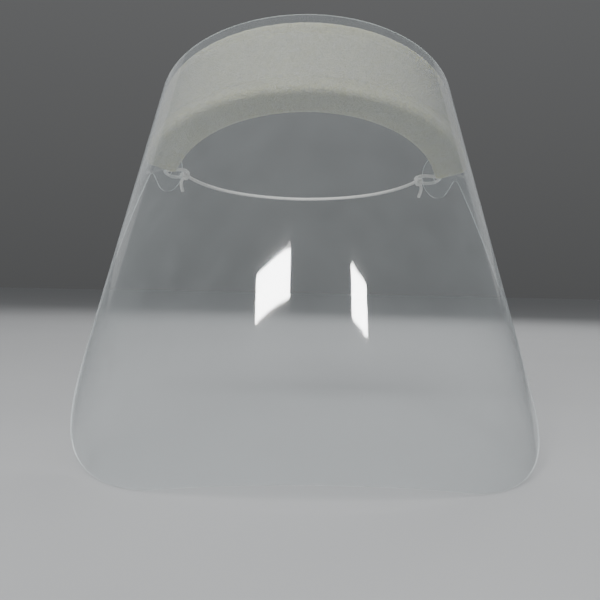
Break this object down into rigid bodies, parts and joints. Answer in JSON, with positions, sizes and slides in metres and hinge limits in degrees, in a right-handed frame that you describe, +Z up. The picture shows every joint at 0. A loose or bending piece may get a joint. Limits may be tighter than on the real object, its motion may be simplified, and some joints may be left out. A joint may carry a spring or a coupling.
{
  "type": "face shield",
  "caption": "Clear wrap-round face shield with a foam forehead pad and an elastic cord tied through its ear tabs.",
  "frame": {"origin": "middle of the foam pad's inner face, where the wearer's forehead bears", "axes": "+Y from the forehead pad back into the head, so the wearer looks along -Y; +X towards the wearer's left side, which is on the right as seen from in front; +Z up as worn. Nodes named left and right are so as seen from in front."},
  "size_m": [0.2305, 0.2796, 0.2197],
  "materials": {
    "clear_sheet": "clear glossy plastic sheet with a faint cool haze and bright cut edges",
    "adhesive_strip": "thin translucent double-sided tape",
    "pad_foam": "soft fine-celled foam, pale grey with a slight green cast",
    "elastic_cord": "white braided round elastic"
  },
  "bodies": {
    "visor": {"visor_sheet": "clear_sheet", "pad_adhesive_strip": "adhesive_strip", "forehead_pad": "pad_foam"},
    "headband": {"elastic_band": "elastic_cord", "left_tab_loop": "elastic_cord", "right_tab_loop": "elastic_cord", "left_knot": "elastic_cord", "right_knot": "elastic_cord"}
  },
  "joints": [
    {"name": "headband_swing", "type": "hinge", "parent": "visor", "child": "headband", "pos_m": [0, 0.0876, -0.0351], "axis": [1, 0, 0], "range_deg": [-35, 75]}
  ]
}
